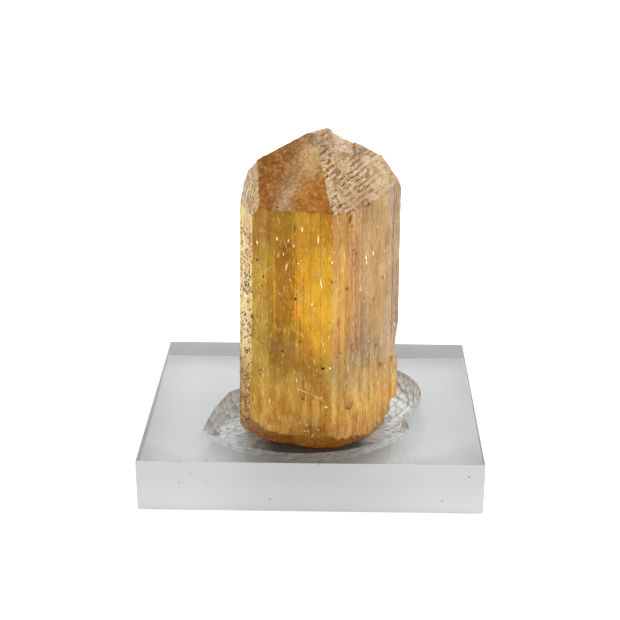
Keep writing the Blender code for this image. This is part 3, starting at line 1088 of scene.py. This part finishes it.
def make_inclusions(name, material, marks, patches, spots, tip, seed):
    """One mesh of small flakes in the crystal: those that the photo shows, and patches of smaller ones.

    Each flake is tipped by up to tip degrees from the face that it lies under.
    """
    rng = random.Random(seed)
    bm = bmesh.new()
    for x, y, width, height, depth, *turn in marks:
        point, normal = inside_point(x, y, 0.01 * depth - MARK_LIFT)
        size = (width * PIXEL, MARK_THICKNESS, height * PIXEL)
        add_flake(bm, point, normal, size, turn[0] if turn else rng.uniform(-15, 15), x, 3, 0.7)
    for names, count, lowest, highest, width, height, depth in patches:
        found = [entry for key in names for entry in spots[key] if lowest < entry[0].z < highest]
        for _ in range(count):
            place, normal = rng.choice(found)
            size = (rng.uniform(*width), FLAKE_THICKNESS, rng.uniform(*height))
            inner = place - normal * rng.uniform(*depth)
            axis = heading(rng.uniform(-180, 180))
            facing = Matrix.Rotation(math.radians(rng.uniform(0, tip)), 3, axis) @ normal
            add_flake(bm, inner, facing, size, rng.uniform(-14, 14), inner.x)
    flakes = object_from(name, bm)
    dress(flakes, material)
    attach(flakes, "root")


# The slab and its seat


def arc_between(start, end, radius, steps):
    chord = end - start
    inward = UP.cross(chord).normalized()
    centre = (start + end) / 2 + inward * math.sqrt(radius**2 - chord.length_squared / 4)
    sweep = 2 * math.asin(chord.length / (2 * radius))
    arm = start - centre
    return [centre + Matrix.Rotation(sweep * i / steps, 3, "Z") @ arm for i in range(steps)]


def seat_rim():
    """The seat's rim as (point, distance along the rim in mm, scallop depth)."""
    rim = []
    travelled = 0
    for i, (x, y, radius, depth) in enumerate(SEAT_RIM):
        next_x, next_y, _, _ = SEAT_RIM[(i + 1) % len(SEAT_RIM)]
        start = Vector((x, y, 0))
        end = Vector((next_x, next_y, 0))
        length = 2 * radius * math.asin((end - start).length / (2 * radius))
        steps = max(round(length / SEAT_STEP), 4)
        for j, point in enumerate(arc_between(start, end, radius, steps)):
            rim.append((point, travelled + length * j / steps, depth))
        travelled += length
    return rim


@functools.cache
def touch_of(row, column):
    """One of the burr's round touches on the seat's wall: its middle along and down it, and its size."""
    rng = random.Random(row * 1000 + column)
    x = (column + 0.5 + SCALLOP_JITTER[0] * rng.uniform(-1, 1)) * SCALLOP + 0.5 * SCALLOP * (row % 2)
    y = (row + 0.5 + SCALLOP_JITTER[1] * rng.uniform(-1, 1)) * SCALLOP
    return x, y, rng.uniform(*SCALLOP_SIZE)


def nearest_touches(along, down):
    """The nearest touch and the next: how far off each is, and how far across and below, by its reach."""
    found = []
    middle_row = math.floor(down / SCALLOP)
    for row in (middle_row - 1, middle_row, middle_row + 1):
        middle_column = math.floor(along / SCALLOP - 0.5 * (row % 2))
        for column in (middle_column - 1, middle_column, middle_column + 1):
            x, y, size = touch_of(row, column)
            away = (along - x, 1.1 * (down - y))
            reach = SCALLOP_REACH * SCALLOP * size
            found.append((math.hypot(*away) / reach, away[0] / reach, away[1] / reach))
    return sorted(found)[:2]


def scallop(along, down):
    """How much wall the burr's touches leave between them, from 0 in a touch's middle to about 1."""
    return min(nearest_touches(along, down)[0][0] ** 2, 1.3)


def ridge_between(along, down):
    """1 on the line where two touches meet, and 0 away from it."""
    nearest, following = nearest_touches(along, down)
    return max(1 - (following[0] - nearest[0]) / 0.3, 0)


def shade_of(along, down):
    """How a touch's hollow is painted: painted shade on its upper side, and painted light on its lower side.
    """
    _, across, below = nearest_touches(along, down)[0]
    return ramp(0.42 * below + 0.24 * across, -0.5, 0.5)


def floor_reach(spoke, rim_reach):
    """How far the seat's flat floor reaches along a spoke from the seat's centre."""
    oval = 1 / math.hypot(spoke.x / SEAT_FLOOR[0], spoke.y / SEAT_FLOOR[1])
    return min(oval, rim_reach) - SEAT_FILLET


def seat_rings():
    rim = seat_rim()
    power = 2 / SEAT_SQUARENESS
    rings = []
    for k in range(WALL_RINGS + 1):
        turn = 0.5 * math.pi * k / WALL_RINGS
        depth = SEAT_DEPTH * math.sin(turn) ** power
        share = max(math.cos(turn), 0) ** power
        ring = []
        for rim_point, along, scallop_depth in rim:
            arm = rim_point - SEAT_CENTRE
            spoke = arm.normalized()
            floor = floor_reach(spoke, arm.length)
            down = depth + (1 - share) * (arm.length - floor)
            left = scallop_depth * 1.1 * scallop(along, down)
            grain = 0.05 * fractal(rim_point * 1.3 + UP * down * 1.3)
            sink = min(depth / 0.4, 1)
            reach = floor + (arm.length - floor) * share - left * (0.25 + 0.75 * sink) + grain * sink
            point = SEAT_CENTRE + spoke * reach
            point.z = SLAB_THICKNESS - depth
            ring.append(point)
        rings.append(ring)
    last = rings[-1]
    for k in range(1, FLOOR_RINGS):
        share = 1 - k / FLOOR_RINGS
        ring = []
        for point in last:
            inner = SEAT_CENTRE + (point - SEAT_CENTRE) * share
            inner.z = SLAB_THICKNESS - SEAT_DEPTH - 0.07 * (0.6 + fractal(inner * 0.5))
            ring.append(inner)
        rings.append(ring)
    return rings


def make_slab():
    bm = bmesh.new()
    size = (SLAB_WIDTH, SLAB_DEPTH, SLAB_THICKNESS)
    lift = Matrix.Translation((0, 0, 0.5 * SLAB_THICKNESS))
    bmesh.ops.create_cube(bm, size=1, matrix=lift @ Matrix.Diagonal((*size, 1)))
    bmesh.ops.bevel(bm, geom=bm.edges[:], offset=SLAB_EDGE, segments=3, profile=0.6, affect="EDGES")
    slab = object_from("slab", bm)
    rings = seat_rings()
    above = [point + UP for point in rings[0]]
    seat = object_from("seat_cutter", loft([above] + rings))
    cut_with(slab, [seat])
    mark_seat(slab.data)
    dress(slab, acrylic_material(), True)
    return slab


def wall_place(point, rim, angles):
    """Where a point of the seat lies: how far along its rim, and how far down its wall."""
    arm = Vector((point.x, point.y, 0)) - SEAT_CENTRE
    i = bisect.bisect(angles, math.atan2(arm.y, arm.x)) % len(rim)
    rim_point, along, _ = rim[i]
    reach = (rim_point - SEAT_CENTRE).length
    floor = floor_reach(arm.normalized(), reach)
    depth = min(max(SLAB_THICKNESS - point.z, 0), SEAT_DEPTH)
    turn = math.asin(min((depth / SEAT_DEPTH) ** (0.5 * SEAT_SQUARENESS), 1))
    share = math.cos(turn) ** (2 / SEAT_SQUARENESS)
    return along, depth + (1 - share) * (reach - floor) + max(floor - arm.length, 0)


def mark_seat(mesh):
    """Stores which faces are ground and which are sawn, the seat's ridges, and painted light and shade."""
    names = ("seat", "sawn", "ridge", "shade")
    for name in names:
        mesh.attributes.new(name, "FLOAT", "FACE")
    seat, sawn, ridge, shade = (mesh.attributes[name] for name in names)
    around = sorted(seat_rim(), key=lambda place: math.atan2(*(place[0] - SEAT_CENTRE).yx))
    angles = [math.atan2(*(place[0] - SEAT_CENTRE).yx) for place in around]
    half = (0.5 * SLAB_WIDTH - 0.5, 0.5 * SLAB_DEPTH - 0.5)
    for i, face in enumerate(mesh.polygons):
        x, y, z = face.center
        outside = abs(x) > half[0] or abs(y) > half[1]
        inside = not outside and 0.5 < z < SLAB_THICKNESS - 0.002
        seat.data[i].value = float(inside)
        sawn.data[i].value = float(outside)
        if inside:
            place = wall_place(face.center, around, angles)
            ridge.data[i].value = ridge_between(*place)
            shade.data[i].value = shade_of(*place)


def make_dust():
    """The few specks of dust and tiny chips on the slab's top and front."""
    rng = random.Random(DUST_SEED)
    bm = bmesh.new()
    for x, y, width in DUST:
        eye, ray = photo_ray(x, y)
        point = eye + ray * ((SLAB_THICKNESS - eye.z) / ray.z)
        normal = UP
        if point.y < -0.5 * SLAB_DEPTH:
            point = eye + ray * ((-0.5 * SLAB_DEPTH - eye.y) / ray.y)
            normal = heading(0)
        size = (width * PIXEL, DUST_THICKNESS, 0.8 * width * PIXEL)
        add_flake(bm, point, normal, size, rng.uniform(-60, 60), x)
    dust = object_from("dust", bm)
    dress(dust, inclusion_material("dust", DUST_GREY, NEAR_BLACK, 4000))
    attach(dust, "root")


# Materials


class Nodes:
    """Short calls for building the nodes of a material or of the world."""

    def __init__(self, owner, shader="Principled BSDF", coordinates="Object"):
        owner.use_nodes = True
        self.owner = owner
        self.tree = owner.node_tree
        self.shader = self.tree.nodes[shader]
        self.place = self.add("ShaderNodeTexCoord").outputs[coordinates]

    def add(self, kind, inputs=(), **settings):
        """A new node with these settings and inputs."""
        node = self.tree.nodes.new(kind)
        for name, value in settings.items():
            setattr(node, name, value)
        for name, value in dict(inputs).items():
            self.put(node.inputs[name], value)
        return node

    def put(self, socket, value):
        """Gives a socket a value, a colour of three numbers or another node's output."""
        if isinstance(value, bpy.types.NodeSocket):
            self.tree.links.new(value, socket)
        elif socket.type == "RGBA":
            socket.default_value = (*value, 1)
        else:
            socket.default_value = value

    def shade(self, name, value):
        self.put(self.shader.inputs[name], value)

    def math(self, operation, first, second=0, clamp=False):
        inputs = {0: first, 1: second}
        return self.add("ShaderNodeMath", inputs, operation=operation, use_clamp=clamp).outputs[0]

    def times(self, first, second):
        return self.math("MULTIPLY", first, second)

    def plus(self, first, second):
        """The sum, held between 0 and 1."""
        return self.math("ADD", first, second, True)

    def rest(self, value):
        """What is left of 1."""
        return self.math("SUBTRACT", 1, value, True)

    def larger(self, first, second):
        return self.math("MAXIMUM", first, second)

    def attribute(self, name):
        return self.add("ShaderNodeAttribute", attribute_name=name).outputs["Fac"]

    def noise(self, scale, detail, shift=(0, 0, 0)):
        """Noise with a scale per metre, for all axes or one for each."""
        scales = scale if isinstance(scale, tuple) else (scale, scale, scale)
        place = self.add("ShaderNodeMapping", {"Vector": self.place, "Scale": scales, "Location": shift})
        inputs = {"Vector": place.outputs[0], "Scale": 1, "Detail": detail, "Roughness": 0.6}
        return self.add("ShaderNodeTexNoise", inputs).outputs["Fac"]

    def span(self, value, low, high, to_low=0, to_high=1):
        """Carries the values from low to high over to another range, and holds them inside it."""
        inputs = {"Value": value, "From Min": low, "From Max": high, "To Min": to_low, "To Max": to_high}
        return self.add("ShaderNodeMapRange", inputs, clamp=True).outputs[0]

    def mix(self, share, first, second):
        inputs = {"Factor": share, "A": first, "B": second}
        return self.add("ShaderNodeMix", inputs, data_type="RGBA").outputs["Result"]

    def axis(self, name):
        return self.add("ShaderNodeSeparateXYZ", {0: self.place}).outputs[name]

    def bump(self, height, strength, distance):
        inputs = {"Height": height, "Strength": strength, "Distance": distance}
        self.shade("Normal", self.add("ShaderNodeBump", inputs).outputs[0])


def material_nodes(name):
    return Nodes(bpy.data.materials.new(name))


def see_through(nodes, ior, density, colour):
    nodes.shade("Transmission Weight", 1)
    nodes.shade("IOR", ior)
    volume = nodes.add("ShaderNodeVolumeAbsorption", {"Color": colour, "Density": density})
    nodes.put(nodes.tree.nodes["Material Output"].inputs["Volume"], volume.outputs[0])


def topaz_material():
    nodes = material_nodes("golden_topaz")
    see_through(nodes, TOPAZ_IOR, TOPAZ_DENSITY, TOPAZ_ABSORPTION)
    nodes.shade("Specular Tint", TOPAZ_GLOSS)
    etched, frosted, pale, amber, low, steep = (nodes.attribute(name) for name in (*LOOKS, "steep"))
    clouds = nodes.noise((170, 170, 60), 3, (2, 6, 4))
    streaks = nodes.noise((2300, 2300, 380), 4)
    dashes = nodes.noise((2600, 2600, 620), 3, (7, 1, 5))
    mottle = nodes.noise(1300, 4, (3, 1, 7))
    blots = nodes.noise(420, 3, (8, 3, 1))
    veils = nodes.noise((330, 330, 200), 4, (1, 9, 2))
    smears = nodes.noise((480, 480, 170), 3, (5, 8, 3))
    grain = nodes.noise(3500, 3)

    # The colour, from the golden body to the marks on it, then painted sheen and painted shade
    pale = nodes.times(pale, nodes.rest(low))
    cloudy = nodes.span(clouds, 0.42, 0.56)
    golden = nodes.mix(cloudy, *GOLD)
    golden = nodes.mix(nodes.span(veils, 0.54, 0.66, 0, 0.6), golden, VEIL)
    broken = nodes.mix(nodes.span(smears, 0.4, 0.6), *ORANGE)
    brown = nodes.mix(nodes.span(blots, 0.4, 0.6), *AMBER)
    colour = nodes.mix(low, golden, broken)
    colour = nodes.mix(amber, colour, brown)
    colour = nodes.mix(pale, colour, nodes.mix(cloudy, *BEIGE))
    fine = nodes.times(nodes.span(streaks, 0.46, 0.34, 0, 0.24), nodes.span(pale, 0.3, 0.9, 1, 0.45))
    rugged = nodes.times(nodes.span(etched, 0.2, 0.7), nodes.span(pale, 0.3, 0.9, 1, 0.5))
    grained = nodes.times(nodes.span(mottle, 0.5, 0.38, 0, 0.75), rugged)
    colour = nodes.mix(nodes.larger(fine, grained), colour, GROOVE_BROWN)
    # Painted highlights: a painted sheen on light dashes and on light specks of the etched faces
    specks = nodes.times(nodes.span(mottle, 0.56, 0.64), rugged)
    light = nodes.larger(nodes.span(dashes, 0.58, 0.66), specks)
    painted_sheen = nodes.mix(pale, nodes.mix(amber, PAINTED_GOLD_SHEEN, PAINTED_AMBER_SHEEN), PAINTED_PALE_SHEEN)
    colour = nodes.mix(nodes.times(light, 0.7), colour, painted_sheen)
    # Painted shade on steep relief and on the right pyramid's risers
    colour = nodes.mix(nodes.times(steep, 0.95), colour, PAINTED_RISER_SHADE)
    nodes.shade("Base Color", colour)

    # How much light scatters at the surface, its roughness and its finest relief
    patchy = nodes.mix(nodes.span(etched, 0.15, 0.45), smears, blots)
    scatter = nodes.times(frosted, nodes.span(patchy, 0.36, 0.62, 0.75, 1.15))
    scatter = nodes.plus(scatter, nodes.times(light, 0.2))
    scatter = nodes.plus(scatter, nodes.times(steep, nodes.times(etched, 0.6)))
    nodes.shade("Transmission Weight", nodes.rest(scatter))
    rough = nodes.plus(nodes.span(etched, 0, 1, 0.07, 0.36), nodes.span(mottle, 0.3, 0.7, 0, 0.08))
    nodes.shade("Roughness", rough)
    nodes.bump(nodes.math("ADD", dashes, nodes.times(grain, etched)), 0.3, 0.0001)
    return nodes.owner


def inclusion_material(name, colour, other, scale):
    nodes = material_nodes(name)
    nodes.shade("IOR", INCLUSION_IOR)
    cloud = nodes.noise(scale, 3)
    nodes.shade("Base Color", nodes.mix(nodes.span(cloud, 0.4, 0.6), other, colour))
    nodes.shade("Roughness", nodes.span(cloud, 0.3, 0.7, 0.5, 0.8))
    return nodes.owner


def glint_material():
    """A crack filled with air, which is a mirror from inside the crystal, with a faint glow of painted light.
    """
    nodes = material_nodes("glints")
    cloud = nodes.noise(3000, 3)
    nodes.shade("Metallic", 1)
    nodes.shade("Base Color", nodes.mix(cloud, *GLINTS))
    nodes.shade("Roughness", nodes.span(cloud, 0.3, 0.7, 0.12, 0.3))
    # Painted light: the glints glow faintly, though they are no lamp
    nodes.shade("Emission Color", GLINTS[0])
    nodes.shade("Emission Strength", GLINT_GLOW)
    return nodes.owner


def acrylic_material():
    nodes = material_nodes("clear_acrylic")
    see_through(nodes, ACRYLIC_IOR, ACRYLIC_DENSITY, ACRYLIC_ABSORPTION)
    seat, sawn, ridge, shade = (nodes.attribute(name) for name in ("seat", "sawn", "ridge", "shade"))
    x, y, z = (nodes.axis(name) for name in "XYZ")
    frost = nodes.noise(1500, 4)
    patches = nodes.noise(420, 3, (4, 2, 1))
    saw_lines = nodes.noise((160, 160, 9000), 3, (5, 2, 1))

    # The sawn edges, lighter towards the bottom as painted light, and the back one darker as painted shade
    edge = nodes.mix(nodes.span(z, 0.007, 0.001), *SAWN_GREY_AND_PAINTED_LIGHT)
    edge = nodes.mix(nodes.times(sawn, nodes.span(y, 0.031, 0.0316)), edge, PAINTED_SHADE_GREY)
    clear = nodes.mix(sawn, CLEAR, edge)

    # Painted shade and light on the ground seat: hollows, ridges between them, left side, floor in front
    ground = nodes.mix(nodes.span(patches, 0.38, 0.6), *GROUND)
    # Painted shade on each hollow's upper side, and painted light on its lower side
    ground = nodes.mix(nodes.span(shade, 0.5, 0.1, 0, 0.75), ground, PAINTED_HOLLOW_SHADE)
    ground = nodes.mix(nodes.span(shade, 0.62, 0.85), ground, PAINTED_HOLLOW_LIGHT)
    ground = nodes.mix(nodes.span(frost, 0.55, 0.68, 0, 0.4), ground, FROST_GREY)
    # Painted shade along the ridges where two hollows meet
    broken = nodes.times(nodes.span(ridge, 0.1, 0.8), nodes.span(patches, 0.44, 0.56, 0.1, 0.75))
    ground = nodes.mix(broken, ground, PAINTED_RIDGE_SHADE)
    # Painted shade: the seat darker towards its left side
    ground = nodes.mix(nodes.span(x, 0, -0.014, 0, 0.08), ground, PAINTED_SHADE_GREY)
    # Painted shade on the seat's floor in front of the crystal's foot
    beside = nodes.times(nodes.span(x, -0.021, -0.009), nodes.span(x, 0.018, 0.011))
    near = nodes.times(nodes.span(y, -0.004, -0.0095), beside)
    shaded = nodes.times(near, nodes.span(y, -0.017, -0.023, 0.96, 0.72))
    ground = nodes.mix(shaded, ground, SHADED_FLOOR)
    nodes.shade("Base Color", nodes.mix(seat, clear, ground))

    bright = nodes.span(x, 0.008, 0.02, 0.42, 0.65)
    scatter = nodes.times(seat, nodes.larger(bright, nodes.span(near, 0, 1, 0.4, 0.85)))
    scatter = nodes.plus(scatter, nodes.times(sawn, 0.55))
    nodes.shade("Transmission Weight", nodes.rest(scatter))
    satin = nodes.times(sawn, nodes.span(saw_lines, 0.3, 0.7, 0.58, 0.66))
    frosted = nodes.times(seat, nodes.span(frost, 0.3, 0.7, 0.3, 0.42))
    nodes.shade("Roughness", nodes.plus(nodes.plus(satin, frosted), 0.01))
    nodes.bump(nodes.times(frost, seat), 0.4, 0.0002)
    return nodes.owner


def floor_material():
    """White around the object, and greyer far in front of it as painted shade."""
    nodes = material_nodes("white_floor")
    # Painted shade: the floor greyer far in front of the object
    colour = nodes.mix(nodes.span(nodes.axis("Y"), -0.26, -0.07), *STAGE_TONES)
    nodes.shade("Base Color", colour)
    nodes.shade("Roughness", 0.9)
    nodes.shade("Emission Color", colour)
    nodes.shade("Emission Strength", 0.1)
    return nodes.owner


# The studio


def make_floor():
    bm = bmesh.new()
    bmesh.ops.create_grid(bm, x_segments=1, y_segments=1, size=FLOOR_HALF)
    floor = object_from("floor", bm)
    floor.location.z = -FLOOR_GAP * MM
    floor.data.materials.append(floor_material())


def make_world():
    """A tent with softboxes and dark gaps round it."""
    world = bpy.data.worlds.new("studio")
    bpy.context.scene.world = world
    nodes = Nodes(world, "Background", "Generated")
    azimuth = nodes.math("ARCTAN2", nodes.axis("X"), nodes.axis("Y"))
    ring = nodes.add("ShaderNodeFloatCurve", {"Value": nodes.span(azimuth, -math.pi, math.pi)})
    curve = ring.mapping.curves[0]
    brightest = max(brightness for _, brightness in STUDIO)
    for degrees, brightness in STUDIO[1:-1]:
        curve.points.new((degrees + 180) / 360, brightness / brightest)
    for point, (_, brightness) in zip((curve.points[0], curve.points[-1]), (STUDIO[0], STUDIO[-1])):
        point.location.y = brightness / brightest
    for point in curve.points:
        point.handle_type = "VECTOR"
    ring.mapping.update()
    height = nodes.span(nodes.axis("Z"), *OVERHEAD_START)
    around = nodes.times(ring.outputs[0], brightest)
    blend = nodes.add("ShaderNodeMix", {"Factor": height, "A": around, "B": OVERHEAD})
    nodes.shade("Strength", blend.outputs["Result"])
    nodes.shade("Color", WHITE)


def add_softbox(name, place, target, size, power):
    light = bpy.data.lights.new(name, "AREA")
    light.shape = "RECTANGLE"
    light.size, light.size_y = size
    light.energy = power
    obj = bpy.data.objects.new(name, light)
    bpy.context.scene.collection.objects.link(obj)
    obj.location = place
    obj.rotation_euler = (Vector(target) - Vector(place)).to_track_quat("-Z", "Y").to_euler()


def make_camera():
    data = bpy.data.cameras.new("camera")
    data.lens = CAMERA_LENS
    data.sensor_width = SENSOR
    camera = bpy.data.objects.new("camera", data)
    bpy.context.scene.collection.objects.link(camera)
    camera.location = CAMERA_PLACE
    camera.rotation_euler = (math.radians(90 - CAMERA_PITCH), 0, math.radians(CAMERA_YAW))
    bpy.context.scene.camera = camera


def main():
    scene = bpy.context.scene
    scene.view_settings.view_transform = "Standard"
    scene.cycles.max_bounces = BOUNCES
    scene.cycles.transmission_bounces = BOUNCES
    scene.cycles.glossy_bounces = GLOSSY_BOUNCES
    make_camera()
    make_floor()
    make_world()
    add_softbox("right_softbox", (0.5, 0.15, 0.36), (0, 0, 0.05), (0.35, 0.35), 1.6)
    add_softbox("top_softbox", (-0.2, 0.1, 0.8), (0, 0, 0.05), (0.6, 0.6), 1.3)
    crystal, spots = make_crystal()
    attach(crystal, "root")
    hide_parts("topaz_crystal")
    for name, tones, marks, patches, tip, seed in INCLUSIONS:
        material = inclusion_material(name, *tones) if tones else glint_material()
        make_inclusions(name, material, marks, patches, spots, tip, seed)
    slab = make_slab()
    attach(slab, "root")
    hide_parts("acrylic_base")
    make_dust()


main()
